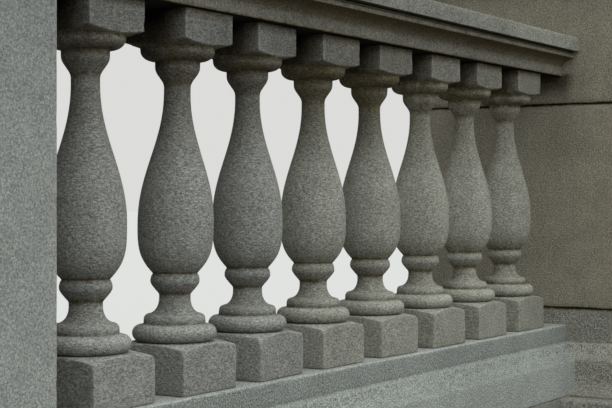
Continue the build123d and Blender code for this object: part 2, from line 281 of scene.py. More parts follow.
def stone_finish(name, colour, grain, relief, stain, dirt_and_painted_shade, tooling=190, combed=1.0):
    """Granular stone: its colour, how strong the grain is, how deep the relief is in mm, how stained it is,
    the colour of the dirt and painted shade in its hollows, how many marks of the tool there are in a metre,
    and how many times longer than high the coarse grains are, which a comb chisel leaves in level lines."""
    material = bpy.data.materials.new(name)
    material.use_nodes = True
    tree = material.node_tree
    tree.nodes.clear()
    out = tree.nodes.new("ShaderNodeOutputMaterial")
    surface = add_node(tree, "ShaderNodeBsdfPrincipled", Specular_IOR_Level=gloss)
    tree.links.new(surface.outputs[0], out.inputs["Surface"])
    place = tree.nodes.new("ShaderNodeTexCoord").outputs["Object"]
    level = add_node(tree, "ShaderNodeMapping", Scale=(combed**-0.5, combed**-0.5, combed**0.5))
    tree.links.new(place, level.inputs["Vector"])

    # colour: tone of the stone, mottle, grains of two sizes
    mottle = spread(tree, noise_of(tree, place, mottle_cells, 4), *usual, 0.90, 1.08)
    coarse = noise_of(tree, level.outputs[0], coarse_cells, 2, 0.6)
    coarse = spread(tree, coarse, 0.34, 0.66, 1 - grain, 1 + grain)
    fine = spread(tree, noise_of(tree, place, fine_cells, 1, 0.7), *usual, 1 - grain, 1 + grain)
    grainy = combine(tree, "MULTIPLY", coarse, fine)
    plain = blend_colour(tree, 1.0, colour, combine(tree, "MULTIPLY", mottle, grainy), "MULTIPLY")

    # soot and painted shade: where the surface carries them, and soot in broad stains
    patchy = spread(tree, noise_of(tree, place, soot_cells, 5, 0.65), *usual, 0.75, 1.15)
    broad = spread(tree, noise_of(tree, place, stain_cells, 6, 0.6), 0.45, 0.72, 0.0, stain)
    soot_and_shade_share = combine(tree, "MULTIPLY", carried(tree, "soot_and_painted_shade"), patchy)
    soot_and_shade_share = combine(tree, "MINIMUM", combine(tree, "ADD", soot_and_shade_share, broad), most)
    # the colour of soot and of painted shade alike
    soot_and_shade_colour = tuple(0.30 * c + 0.9 * d for c, d in zip(colour, soot_and_shade_black))
    plain = blend_colour(tree, soot_and_shade_share, plain, blend_colour(tree, 1.0, soot_and_shade_colour, grainy, "MULTIPLY"))

    # wear: arrises are rubbed pale
    rubbed = spread(tree, noise_of(tree, place, rub_cells, 3), 0.35, 0.7, 0.0, 0.5)
    rubbed = combine(tree, "MULTIPLY", rubbed, carried(tree, "arris"))
    pale_colour = tuple(min(1.0, c * 1.3) for c in colour)
    plain = blend_colour(tree, rubbed, plain, pale_colour)

    # dirt and painted shade: brown where the surface carries them, broken up by noise
    broken = spread(tree, noise_of(tree, place, dirt_cells, 5, 0.65), 0.3, 0.68, 0.45, 1.2)
    share = combine(tree, "MULTIPLY", carried(tree, "hollow"), broken)
    share = combine(tree, "MINIMUM", share, most)
    soiled_and_shaded = blend_colour(tree, share, plain, blend_colour(tree, 1.0, dirt_and_painted_shade, grainy, "MULTIPLY"))
    # the tone brings in the washing and the painted light and shade
    toned = blend_colour(tree, 1.0, soiled_and_shaded, carried(tree, "tone"), "MULTIPLY")
    tree.links.new(toned, surface.inputs["Base Color"])
    tree.links.new(spread(tree, coarse, 0.8, 1.2, 0.96, 0.8), surface.inputs["Roughness"])

    # relief: tooled grain and finer grit
    tooled = noise_of(tree, place, tooling, 3, 0.6)
    grit = noise_of(tree, place, grit_cells, 2, 0.6)
    height = combine(tree, "ADD", tooled, combine(tree, "MULTIPLY", grit, 0.4))
    bump = add_node(tree, "ShaderNodeBump", Strength=1.0, Distance=relief * mm)
    tree.links.new(height, bump.inputs["Height"])
    tree.links.new(bump.outputs[0], surface.inputs["Normal"])
    return material


dark_dirt_and_shade, warm_dirt_and_shade, dust_and_shadow = (0.030, 0.022, 0.010), (0.082, 0.059, 0.024), (0.050, 0.038, 0.018)
# Of each: colour, grain, relief in mm, stain, and the colour of its dirt and painted shade; then tooling and
# combing, where they are its own
finish_table = {
    "baluster_stone": ((0.246, 0.251, 0.235), 0.40, 3.2, 0.18, (0.072, 0.056, 0.028), 190, 2.4),
    # the far balusters' finish is warmer: painted warm light thrown back on them by the walls
    "warmer_baluster_stone": ((0.248, 0.252, 0.219), 0.40, 3.2, 0.18, (0.072, 0.057, 0.026), 190, 2.4),
    "rail_stone": ((0.226, 0.223, 0.190), 0.36, 2.6, 0.30, warm_dirt_and_shade),
    "coping_stone": ((0.215, 0.220, 0.191), 0.36, 2.6, 0.35, dark_dirt_and_shade),
    "base_stone": ((0.268, 0.285, 0.269), 0.50, 3.0, 0.16, dark_dirt_and_shade),
    "near_pier_stone": ((0.265, 0.276, 0.262), 0.30, 1.8, 0.12, dark_dirt_and_shade),
    "far_pier_stone": ((0.308, 0.292, 0.226), 0.36, 3.0, 0.25, dust_and_shadow),
    "far_base_stone": ((0.355, 0.353, 0.308), 0.50, 9.0, 0.15, dust_and_shadow, 95),
    "ground_stone": ((0.21, 0.215, 0.19), 0.36, 3.0, 0.35, dark_dirt_and_shade),
}
finishes = {name: stone_finish(name, *row) for name, row in finish_table.items()}
print("finishes:", ", ".join(finishes))

# %% [markdown]
# ## Worked outlines
# A moulding is cut from a drawn outline, and years of weather round every arris and fill every inner
# corner. So each outline here is written sharp, as points and quarter ellipses, and then worn: it is walked
# in small steps and every point becomes the mean of its neighbours. That lowers the crests by a millimetre or
# two, so they are drawn that much fuller. The same walk measures how far the outline turns, which says where
# the arrises and the hollows are.

# %% Tools for outlines


def quarter(centre, reach, rise, start):
    """A quarter of an ellipse, anticlockwise from the start angle: centre + (reach cos, rise sin)."""
    turn = np.radians(start + np.linspace(0, 90, 13))
    return np.stack([centre[0] + reach * np.cos(turn), centre[1] + rise * np.sin(turn)], 1)


def ease(start, end, leave, arrive):
    """A cubic from start to end that leaves and arrives along the given tangents (Hermite's formula)."""
    t = np.linspace(0, 1, 60)[:, None]
    start, end, leave, arrive = (np.array(v, float) for v in (start, end, leave, arrive))
    return (
        (2 * t**3 - 3 * t**2 + 1) * start
        + (t**3 - 2 * t**2 + t) * leave
        + (3 * t**2 - 2 * t**3) * end
        + (t**3 - t**2) * arrive
    )


def running_mean(values, width, closed):
    """Each value becomes the mean of the values within half the width, twice over."""
    width = max(1, int(width)) | 1
    half = width // 2
    for _ in range(2):
        if closed:
            padded = np.concatenate([values[-half:], values, values[:half]]) if half else values
        else:
            before, after = 2 * values[0] - values[half:0:-1], 2 * values[-1] - values[-2 : -half - 2 : -1]
            padded = np.concatenate([before, values, after]) if half else values
        total = np.cumsum(np.concatenate([np.zeros_like(padded[:1]), padded]), 0)
        values = (total[width:] - total[:-width]) / width
    return values


walk_step = 0.5  # mm
turn_window = 12  # steps over which the turning is averaged
crowding = 60
arris_gain, hollow_gain = 12, 14


def worn(outline, softness, count, closed=False):
    """Wears an outline and samples it. The outline (mm) is walked in small steps and averaged over the
    softness. Its turning per millimetre, averaged, gives arris (outer turns) and hollow (inner turns).
    Samples lie closer where it turns: their density is 1 + crowding * turning."""
    outline = np.asarray(outline, float)
    if closed:
        outline = np.concatenate([outline, outline[:1]])
    step = np.linalg.norm(np.diff(outline[:, :2], axis=0), axis=1)
    keep = np.concatenate([[True], step > 1e-6])
    outline, step = outline[keep], step[step > 1e-6]
    along = np.concatenate([[0], np.cumsum(step)])
    walk = np.arange(0, along[-1], walk_step)
    fine = np.stack([np.interp(walk, along, column) for column in outline.T], 1)
    fine[:, :2] = running_mean(fine[:, :2], softness / walk_step, closed)
    run = np.gradient(fine[:, :2], axis=0)
    angle = np.unwrap(np.arctan2(run[:, 1], run[:, 0]))
    turning = running_mean(np.gradient(angle) / walk_step, turn_window, closed)
    density = 1 + crowding * np.abs(turning)
    share = np.concatenate([[0], np.cumsum((density[1:] + density[:-1]) / 2)])
    picks = np.linspace(0, share[-1], count, endpoint=not closed)
    spot = np.interp(picks, share, np.arange(len(walk)))
    points = np.stack([np.interp(spot, np.arange(len(walk)), column) for column in fine.T], 1)
    turn = np.interp(spot, np.arange(len(walk)), turning)
    return points, np.clip(turn * arris_gain, 0, 1), np.clip(-turn * hollow_gain, 0, 1)


# %% [markdown]
# ## Weather
# Nothing on old stone is quite flat. Smooth random heights on a lattice, added at several sizes, give the
# slow waves of hand work and the dents of wear. They only ever take stone away, so a worn stone stays inside
# its outline and still beds face to face with its neighbours.

# %% Tools for weather


lattice_size = 32
chip_threshold = 0.45


def lattice_noise(points, cell, seed):
    """Each corner of a cubic lattice has a seeded random height from -1 to 1. A point gets the blend of its
    cell's eight corners, weighted along each axis by u*u*(3 - 2*u), where u is its place in the cell."""
    table = np.random.default_rng(seed).uniform(-1, 1, (lattice_size,) * 3)
    place = points / cell
    corner = np.floor(place).astype(int)
    u = place - corner
    u = u * u * (3 - 2 * u)
    total = np.zeros(points.shape[:-1])
    for shift in itertools.product((0, 1), repeat=3):
        weight = np.prod(np.where(shift, u, 1 - u), axis=-1)
        i, j, k = np.moveaxis((corner + shift) % lattice_size, -1, 0)
        total += weight * table[i, j, k]
    return total


def outward(grid):
    """Unit normals of a closed surface of rings: the cross product of the steps along and across them, summed
    over three rings, so that wide steps count for more than narrow ones."""
    across = np.roll(grid, -1, 1) - np.roll(grid, 1, 1)
    along = np.gradient(grid, axis=0)
    normal = np.pad(np.cross(across, along), ((1, 1), (0, 0), (0, 0)), mode="edge")
    normal = normal[:-2] + normal[1:-1] + normal[2:]
    normal /= np.maximum(np.linalg.norm(normal, axis=2, keepdims=True), 1e-12)
    away = grid - grid.mean(1, keepdims=True)
    return normal if np.sum(normal * away) > 0 else -normal


def weathered(grid, arris, seed, wave=0.5, chip=2.5, rub=0.8):
    """Takes stone away along the inward normal, in mm: waves of two sizes all over, rubbing on the arrises,
    and chips where a finer noise passes a threshold on an arris."""
    slow = 0.5 + 0.5 * lattice_noise(grid, 70 * mm, seed)
    quick = 0.5 + 0.5 * lattice_noise(grid, 17 * mm, seed + 1)
    rubbed = arris * (0.5 + 0.5 * lattice_noise(grid, 40 * mm, seed + 2))
    chipped = arris * np.clip(lattice_noise(grid, 13 * mm, seed + 3) - chip_threshold, 0, 1)
    depth = wave * (0.6 * slow + 0.4 * quick) + rub * rubbed + 2 * chip * chipped
    return grid - outward(grid) * (depth * mm)[..., None]


# %% [markdown]
# ## From rings to a mesh
# Every stone here is a pile of closed rings: a turned shaft is rings up its axis, a moulded course is rings
# along its length, a pier is rings round its body. Neighbouring rings are joined by quads, and a fan closes
# each end, so the stone is one closed skin that faces outwards.

# %% Build a mesh from rings


def signed_volume(points, corners):
    """Six times the volume that the triangles enclose, positive where they face outwards."""
    a, b, c = (points[corners[:, i]] for i in range(3))
    return np.sum(np.cross(a, b) * c)


def skin(grid):
    """Points, quads and triangles of a pile of rings (ring, place on the ring, xyz), closed by end fans."""
    rings, around, _ = grid.shape
    points = np.concatenate([grid.reshape(-1, 3), grid[:1].mean(1), grid[-1:].mean(1)])
    ring, spot = np.meshgrid(np.arange(rings - 1), np.arange(around), indexing="ij")
    ahead = (spot + 1) % around
    quads = np.stack([ring * around + spot, ring * around + ahead, (ring + 1) * around + ahead,
                      (ring + 1) * around + spot], -1).reshape(-1, 4)
    spot, top = np.arange(around), (rings - 1) * around
    ahead = (spot + 1) % around
    low = np.stack([ahead, spot, np.full(around, rings * around)], 1)
    high = np.stack([top + spot, top + ahead, np.full(around, rings * around + 1)], 1)
    fans = np.concatenate([low, high])
    halves = np.concatenate([quads[:, [0, 1, 2]], quads[:, [0, 2, 3]], fans])
    if signed_volume(points, halves) < 0:
        quads, fans = quads[:, ::-1], fans[:, ::-1]
    return points, quads, fans


def stone(name, shells, slot, seed, finish=None):
    """One stone, from shells of (grid, arris, dirt and painted shade, soot and painted shade, tone with
    washing and painted light), as a mesh that carries its attributes.
    The seed gives the stone a shade of its own. Its finish is the slot's own, another one, or a list with one
    for each shell."""
    shade = np.random.default_rng(seed).uniform(0.95, 1.05)
    parts, values, total = [], {"arris": [], "hollow": [], "soot_and_painted_shade": [], "tone": []}, 0
    for grid, arris, hollow, soot_and_painted_shade, wash_and_painted_light in shells:
        points, quads, fans = skin(grid)
        parts.append((points, quads + total, fans + total))
        total += len(points)
        # hollow carries the dirt and painted shade; the tone carries the washing and the painted light and
        # shade
        carries = (("arris", arris), ("hollow", hollow), ("soot_and_painted_shade", soot_and_painted_shade), ("tone", wash_and_painted_light * shade))
        for key, value in carries:
            value = np.broadcast_to(value, grid.shape[:2])
            values[key].append(np.concatenate([value.reshape(-1), value[:1].mean(1), value[-1:].mean(1)]))
    points, quads, fans = (np.concatenate([part[i] for part in parts]) for i in range(3))
    mesh = bpy.data.meshes.new(name)
    mesh.vertices.add(len(points))
    mesh.vertices.foreach_set("co", points.astype(np.float32).ravel())
    mesh.loops.add(quads.size + fans.size)
    mesh.loops.foreach_set("vertex_index", np.concatenate([quads.ravel(), fans.ravel()]).astype(np.int32))
    mesh.polygons.add(len(quads) + len(fans))
    starts = np.concatenate([np.arange(len(quads)) * 4, quads.size + np.arange(len(fans)) * 3])
    mesh.polygons.foreach_set("loop_start", starts.astype(np.int32))
    mesh.polygons.foreach_set("use_smooth", np.ones(len(starts), bool))
    mesh.update(calc_edges=True)
    for key, value in values.items():
        attribute = mesh.attributes.new(key, "FLOAT", "POINT")
        attribute.data.foreach_set("value", np.concatenate(value).astype(np.float32))
    worn_finishes = finish if isinstance(finish, list) else [finish or slot]
    for one in worn_finishes:
        mesh.materials.append(finishes[one])
    if len(worn_finishes) > 1:
        owner = [np.full(len(part[i]), index) for i in (1, 2) for index, part in enumerate(parts)]
        mesh.polygons.foreach_set("material_index", np.concatenate(owner).astype(np.int32))
    piece = bpy.data.objects.new(name, mesh)
    scene.collection.objects.link(piece)
    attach(piece, "root")
    return piece


# %% [markdown]
# ## Balusters
# A baluster is one stone: its plinth and abacus stay square and the shaft between them is turned. It could be
# a revolve with two boxes, but then the joins between square and round would be hard seams. Here it is a
# single skin: rings climb the outline, and each ring is a square, a circle or a mixture of the two. No two
# stones of an old row stand alike, so each one is set a little off its place and turned on its bed, as seen.

# %% The outline of a baluster
plinth_half, plinth_seat, plinth_seat_radius = 83.5, 92, 83.5
abacus_half, abacus_seat, abacus_seat_radius = 75, 646, 75
corner_fall = 9 / 34.6
corner_rise = 6 / 31.1
whole_height, shaft_middle, bed_half = 710, 300, 30


def round_part(*pieces):
    """Joins pieces of outline and adds a third column: squareness 0."""
    points = np.concatenate([np.asarray(piece, float) for piece in pieces])
    return np.column_stack([points, np.zeros(len(points))])


# Columns: half width and height in mm, and squareness
baluster_outline = np.concatenate([
    [(bed_half, 0, 1), (plinth_half, 0, 1), (plinth_half, plinth_seat, 1), (79, plinth_seat, 1)],
    round_part(
        quarter((64.3, 108), 16, 16, -90),
        quarter((64.3, 108), 16, 16, 0),
        [(58.6, 124), (58.6, 134)],
        quarter((50.4, 134), 8.2, 10, 0),
        quarter((50.4, 172), 20.6, 28, 180)[::-1],
        [(29.8, 180)],
        ease((29.8, 181), (47.2, 204), (14.7, 14.7), (0, 13.3)),
        quarter((41.4, 204), 5.8, 15, 0),
        ease((41.4, 219), (72, 317), (89, 89), (0, 137)),
        ease((72, 317), (25.4, 560), (0, 285), (0, 285)),
        ease((25.4, 570), (42.8, 607), (0, 42), (0, 42)),
        [(42.8, 619)],
        quarter((45.8, 638), 24.9, 19, 270),
        [(70.7, 645)],
    ),
    [(abacus_half, abacus_seat, 1), (abacus_half, whole_height, 1), (bed_half, whole_height, 1)],
])
print("outline points:", len(baluster_outline))

# %% Rings between square and round


def walk_round(per_side, per_corner, even=0.15):
    """A walk round a unit square: each place's x and y from -1 to 1, and the direction it faces. Places lie
    closer near the corners, by t = s + even * sin(pi * s), and a corner turns in even steps."""
    s = np.linspace(-1, 1, per_side)
    t = s + even * np.sin(np.pi * s)
    turn = np.linspace(0, 90, per_corner + 2)[1:-1]
    x = np.concatenate([np.ones(per_side), np.ones(per_corner)])
    y = np.concatenate([t, np.ones(per_corner)])
    lean = np.concatenate([np.zeros(per_side), turn])
    sides = []
    for side in range(4):
        c, d = [(1, 0), (0, 1), (-1, 0), (0, -1)][side]
        sides.append(np.stack([c * x - d * y, d * x + c * y, np.radians(lean + 90 * side)]))
    return np.concatenate(sides, 1)


def ring_round(walk, half_x, half_y, corner):
    """A rectangle drawn in by the corner radius and pushed out by it along the facing direction."""
    x = walk[0] * (half_x - corner) + corner * np.cos(walk[2])
    y = walk[1] * (half_y - corner) + corner * np.sin(walk[2])
    return np.stack([x, y], -1)


# %% The shape of a baluster
rings_of_baluster, softness_of_baluster = 176, 4.0
plinth_arris, rounder_at_shoulder, abacus_arris = 3.0, 6.0, 2.5
picture_right = (0.53, -0.85)  # the picture's right, as a direction on the ground


def step_up(value, low, high):
    """Rises smoothly from 0 at low to 1 at high."""
    t = np.clip((value - low) / (high - low), 0, 1)
    return t * t * (3 - 2 * t)


def band_at(value, centre, width):
    """1 at the centre, fading to both sides: exp(-(distance / width) squared)."""
    return np.exp(-(((value - centre) / width) ** 2))


def baluster_rings(middle, level, plinth_off, foot, head, trim, turn):
    """Rings up the worn outline. Each ring is a mixture of a square and a circle of the same half width, by
    its squareness. The turned face of plinth and abacus is a cone, so both get lower towards their corners:
    their heights shrink in proportion to the stone that the cone leaves. The axis is set off its place by
    foot mm at the bottom and head mm at the top, the plinth by plinth_off more, and the abacus is cut trim mm
    narrower on each side. The stone is turned on its bed by turn degrees, anticlockwise from above."""
    outline, arris, hollow = worn(baluster_outline, softness_of_baluster, rings_of_baluster)
    half, height, squareness = (outline[:, i : i + 1] for i in range(3))
    half = half - trim * squareness * (height > shaft_middle)
    walk = walk_round(26, 7)
    shoulder = rounder_at_shoulder * step_up(height, 78, 91)
    corner = np.where(height < shaft_middle, plinth_arris + shoulder, abacus_arris)
    square = ring_round(walk, half, half, np.minimum(corner, half * 0.5))
    angle = np.arctan2(square[..., 1], square[..., 0])
    circle = half[..., None] * np.stack([np.cos(angle), np.sin(angle)], -1)
    flat = squareness[..., None] * square + (1 - squareness[..., None]) * circle
    radius = np.linalg.norm(flat, axis=-1)
    fall = np.maximum(radius - plinth_seat_radius, 0) * corner_fall / plinth_seat
    rise = np.maximum(radius - abacus_seat_radius, 0) * corner_rise / (whole_height - abacus_seat)
    from_top = (whole_height - height) * (1 - rise)
    heights = np.where(height < shaft_middle, height * (1 - fall), whole_height - from_top)
    grid = np.concatenate([flat, heights[..., None]], -1) * mm
    c, s = math.cos(math.radians(turn)), math.sin(math.radians(turn))
    grid[..., 0], grid[..., 1] = c * grid[..., 0] - s * grid[..., 1], s * grid[..., 0] + c * grid[..., 1]
    abacus = step_up(heights, 638, 650)
    off = (foot + (head - foot) * heights / whole_height + plinth_off * squareness * (1 - abacus)) * mm
    grid[..., 0] += middle + picture_right[0] * off
    grid[..., 1] += picture_right[1] * off
    grid[..., 2] += level
    upright = np.abs(np.abs(walk[0]) - 1) + np.abs(np.abs(walk[1]) - 1)
    near_corner = np.exp(-upright / 0.06) * squareness
    edge = np.clip(np.maximum(arris[:, None] * 0.7, near_corner), 0, 1)
    return grid, edge, (walk, squareness, heights, abacus, hollow[:, None])


# %% The soil, painted light and painted shade on a baluster


def soil_and_light_of_baluster(grid, about, tone, high_soot_and_shade, side_light, plinth_side_light):
    """Dirt and painted shade, soot and painted shade, and the tone with its washing and painted light, of
    every place. The arguments give the shaft's own tone times painted light that rises along the row, how much
    soot and painted shade lie high up, how much painted light falls on the side turned from the light (below 0
    it is painted shade there, deepest on the crown), and the painted light on the plinth's sides."""
    walk, squareness, heights, abacus, hollow = about

    # which way a place faces
    facing = outward(grid)
    under = np.clip(-facing[..., 2], 0, 1) * (heights > 60)
    open_above = np.clip(facing[..., 2], 0, 1)
    aside = np.abs(facing[..., 0]) * squareness
    to_the_back = np.clip(facing[..., 1], 0, 1)
    to_the_left = -(picture_right[0] * facing[..., 0] + picture_right[1] * facing[..., 1])
    turned_away, to_the_light = np.clip(to_the_left, 0, 1) * (1 - squareness), np.clip(-to_the_left, 0, 1)

    # which part of the stone it is on
    low_down = 1 - step_up(heights, 122, 132)
    collar = band_at(heights, 203, 12)
    # bands under the collar and under the bulb, darkened with dirt and painted shade where they face down
    under_collar_and_bulb = band_at(heights, 186, 7) + band_at(heights, 226, 10)
    high_up = high_soot_and_shade * step_up(heights, 390, 570)
    crown = step_up(heights, 565, 625) * (1 - abacus)
    near_top = step_up(heights, 655, 700)
    # the back half of the abacus sides, in the gap under the rail: painted shade there, with dirt
    behind = step_up((walk[1] + 1) / 2, 0.0, 0.5) * aside * abacus

    # soot and painted shade: more of both towards the top, below and behind, and most on the abacus, under the
    # rail
    soot_and_painted_shade = 0.50 * high_up * (1 - abacus) + 0.25 * under + 0.15 * to_the_back
    soot_and_painted_shade = soot_and_painted_shade + (0.40 + 0.22 * high_soot_and_shade) * (abacus - 0.4 * (abacus * aside - behind))

    # dirt and painted shade: in the hollows, below the collar and the crown, on the sides, and along the foot
    # and both joints; painted shade also on what faces down and what faces back, on the side turned from the
    # light and behind the abacus
    dirt_and_painted_shade = hollow * 0.7 * (1 - 0.85 * open_above) + (0.25 + 0.20 * crown + 0.5 * under_collar_and_bulb) * under
    dirt_and_painted_shade = dirt_and_painted_shade + aside * (0.14 + 0.16 * abacus) + 0.80 * behind + 0.10 * to_the_back + 0.55 * (tone - 1)
    dirt_and_painted_shade = dirt_and_painted_shade + 0.20 * high_up * (1 - abacus) + 0.3 * squareness * np.exp(-heights / 7.0)
    dirt_and_painted_shade = dirt_and_painted_shade + 0.85 * step_up(heights, 693, 708) + 0.35 * band_at(heights, 645, 4)
    # painted shade on the side turned from the light, and dirt with painted shade on the crown, less where it
    # faces the light
    dirt_and_painted_shade = dirt_and_painted_shade + 0.12 * turned_away + (0.22 + 0.14 * high_soot_and_shade) * crown * (1 - 0.6 * to_the_light)

    # tone: pale where rain falls and painted top light on what faces up, most on the plinth and torus; painted
    # light on the plinth's sides and on the side turned from the light; painted shade behind the abacus and on
    # the crown; darker on the collar and at the top joint
    wash_and_painted_light = 1 + (tone - 1) * (1 - 0.5 * squareness) + (0.08 + 0.32 * low_down) * open_above * (1 - abacus)
    # painted light on the plinth's sides, and painted shade of the near pier on the first ones
    wash_and_painted_light = wash_and_painted_light + squareness * (1 - abacus) * (plinth_side_light * aside - 0.06)
    # painted shade on the abacus sides near the top, darkest on their back half
    wash_and_painted_light = wash_and_painted_light - abacus * aside * 0.10 * near_top - behind * (0.66 + 0.25 * near_top)
    # painted shade on the crown's side turned from the light, where a neighbour's shade is deeper
    wash_and_painted_light = wash_and_painted_light + 5.0 * min(side_light, 0) * crown * turned_away
    # painted light on the shaft's side turned from the light, thrown back from the wall behind the row
    painted_side_light = side_light * turned_away * step_up(heights, 140, 225) * (1 - 0.85 * step_up(heights, 612, 630))
    wash_and_painted_light = wash_and_painted_light + painted_side_light - 0.2 * collar - 0.25 * step_up(heights, 698, 708)
    return np.clip(dirt_and_painted_shade, 0, 1), np.clip(soot_and_painted_shade, 0, 1), wash_and_painted_light


# %% Turn the balusters
# Of each: plinth off, foot off, head off and abacus trimmed, in mm; degrees turned; its tone, times painted
# light that rises along the row; its soot and painted shade high up; and the painted light on its side turned
# from the light, painted shade there where it is below 0
settings = [
    (4.4, -0.6, -1.8, 0.8, 0.0, 1.00, 0.75, 0.05),
    (3.0, -0.6, 7.8, 0.0, 0.0, 1.02, 1.15, -0.15),
    (1.1, -3.2, -3.4, 1.6, 2.0, 1.05, 1.00, -0.08),
    (-1.5, -1.5, -1.7, 0.0, -1.1, 1.06, 1.50, 0.35),
    (-1.4, 0.0, -3.2, 0.0, -1.5, 1.12, 1.60, 0.30),
    (0.0, 0.5, -1.4, 0.0, -1.2, 1.25, 0.75, 1.00),
    (0.0, 0.5, -1.1, 0.0, 0.0, 1.30, 0.60, 1.05),
    (-0.7, 1.0, 2.8, 0.0, -0.5, 1.33, 0.25, 1.00),
]
for number, (*offsets, tone, high_soot_and_shade, side_light) in enumerate(settings, start=1):
    name = f"baluster_{number}"
    low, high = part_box(name)
    # painted light on the plinths' sides, rising along the row from the near pier's painted shade
    plinth_side_light = 0.42 - 0.46 * 0.5 ** (number - 1)  # the plinths' sides get paler along the row
    grid, edge, about = baluster_rings((low.x + high.x) / 2, low.z, *offsets)
    soil_and_light = soil_and_light_of_baluster(grid, about, tone, high_soot_and_shade, side_light, plinth_side_light)
    shell = (weathered(grid, edge, 100 * number), edge, *soil_and_light)
    # the balusters from the fourth on get the warmer finish, painted warm light from the far walls
    finish = "baluster_stone" if number < 4 else "warmer_baluster_stone"
    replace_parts(stone("turned_" + name, [shell], "baluster_stone", number, finish), name)
print("balusters:", len(settings), "points each:", len(bpy.data.meshes["turned_baluster_1"].vertices))

# %% [markdown]
# ## Moulded courses
# Base, rail and coping are long mouldings: one outline carried along the row and cut into stones. Each
# stone's ends are eased a little, so that the joints show as fine lines. Soil follows the outline too: what
# faces down keeps its dirt and is painted in shade, and what faces up is washed and gets painted top light.

# %% Outlines of the mouldings
base_edge = np.concatenate([
    [(46, 0), (46, 98)],
    quarter((46, 139), 36, 41, 180)[::-1],
    [(0, 140), (0, 190)],
])
rail_edge = np.concatenate([
    [(0, 0), (0, 27)],
    quarter((37, 27), 37, 23, 90)[::-1],
    [(37, 61), (31, 61), (31, 68)],
])
coping_edge = np.concatenate([[(50, 0), (50, 38)], quarter((46, 38), 4, 4, 0)])


def across_row(edge, half_width, crown):
    """The whole section of a moulding: its edge on the right, the top's crown, and the edge mirrored."""
    right = edge + (half_width, 0)
    left = right[::-1] * (-1, 1)
    return np.concatenate([right, [(0, edge[-1, 1] + crown)], left])


ease_at = (0.7 * mm, 2.5 * mm)  # from a stone's end
ease_depths = (0.6, 0.2)  # mm
paler_from, paler_to = 1400, 1950  # mm along the row, from the first baluster's axis


def course_shell(section, start, end, level, seed, softness, count, spacing_mm, soil_and_light):
    """Rings of the worn section from start to end. The first and last rings are drawn in a little, which
    eases the joint. The soil function gives the dirt and painted shade, the soot and painted shade, and the
    tone with its washing and painted light of a place from its height and from how far it faces up. The tone
    also rises towards the right end of the row."""
    outline, arris, hollow = worn(section, softness, count, closed=True)
    length = end - start
    steps = max(4, int(length / mm / spacing_mm))
    along = np.concatenate([[0, ease_at[0]], np.linspace(ease_at[1], length - ease_at[1], steps),
                            [length - ease_at[0], length]])
    drawn_in = np.zeros(len(along))
    drawn_in[[0, -1]], drawn_in[[1, -2]] = ease_depths
    run = np.roll(outline, -1, 0) - np.roll(outline, 1, 0)
    normal = np.stack([run[:, 1], -run[:, 0]], 1)
    normal /= np.linalg.norm(normal, axis=1, keepdims=True)
    flat = outline[None] - normal[None] * drawn_in[:, None, None]
    grid = np.empty((len(along), len(outline), 3))
    grid[..., 0] = (start + along)[:, None]
    grid[..., 1:] = flat * mm
    grid[..., 2] += level
    dirt_and_painted_shade, soot_and_painted_shade, wash_and_painted_light = soil_and_light(outline[:, 1], normal[:, 1], hollow)
    left, right = paler_to_the_right.get(soil_and_light, (1, 1))
    rightwards = step_up((grid[..., 0] - row_start.x) / mm, paler_from, paler_to)
    wash_and_painted_light = wash_and_painted_light[None] * (left + (right - left) * rightwards)
    edge = np.broadcast_to(arris[None], grid.shape[:2])
    return weathered(grid, edge, seed), edge, dirt_and_painted_shade[None], soot_and_painted_shade[None], wash_and_painted_light


# %% The soil, painted light and painted shade on the courses


def soil_and_light_of_base(height, facing_up, hollow):
    """Rain washes the base, most of all its ledge, whose top also gets painted top light. Its fascia is a
    little darker than the face below.
    """
    above, under = np.clip(facing_up, 0, 1), np.clip(-facing_up, 0, 1) * (height > 3)
    dirt_and_painted_shade = hollow * (1 - above) * 0.3 + 0.6 * under
    fascia = step_up(height, 141, 145) * (1 - above)
    # the ledge's top is paler: rain washing and painted top light
    wash_and_painted_light = 1.05 - 0.22 * fascia + 0.45 * above * step_up(height, 170, 190)
    return np.clip(dirt_and_painted_shade, 0, 1), 0.4 * under, wash_and_painted_light


def soil_and_shade_of_rail(height, facing_up, hollow):
    """No rain comes under the coping: soot on the fascia, brown dirt on soffit, hollow and quirk. The soffit
    is also painted nearly black, as shade.
    """
    under = np.clip(-facing_up, 0, 1)
    soffit = 1 - step_up(height, 1, 6)
    fillet = step_up(height, 46, 54)
    dirt_and_painted_shade = np.maximum(hollow * 0.9, under) + 0.50 * fillet + 0.9 * (1 - step_up(height, 2, 7))
    soot_and_painted_shade = 0.36 + 0.5 * under
    # the soffit's tone is painted shade, nearly black
    return np.clip(dirt_and_painted_shade, 0, 1), np.clip(soot_and_painted_shade, 0, 1), 1 - 0.93 * soffit * under


def soil_and_shade_of_coping(height, facing_up, hollow):
    """Only the underside of a coping is dirty and painted in shade, and its hollows are a little dirty."""
    under = np.clip(-facing_up, 0, 1)
    return np.clip(hollow * 0.5 + under, 0, 1), np.clip(under, 0, 1), np.ones_like(height)


def soil_of_plain(height, facing_up, hollow):
    """A plain upright stone is clean, apart from its underside."""
    return 0.5 * np.clip(-facing_up, 0, 1), np.zeros_like(height), np.ones_like(height)


def soil_of_die(height, facing_up, hollow):
    """The die is clean, and a little darker high up, where the rail keeps the rain off."""
    dirt_and_painted_shade, soot_and_painted_shade, wash_and_painted_light = soil_of_plain(height, facing_up, hollow)
    return dirt_and_painted_shade, soot_and_painted_shade, wash_and_painted_light - 0.14 * step_up(height, 380, 640)


# Of each: its tone along most of the row, and beside the far pier
paler_to_the_right = {soil_and_light_of_base: (0.98, 1.18), soil_and_shade_of_rail: (0.88, 1.25), soil_and_shade_of_coping: (0.87, 1.38)}

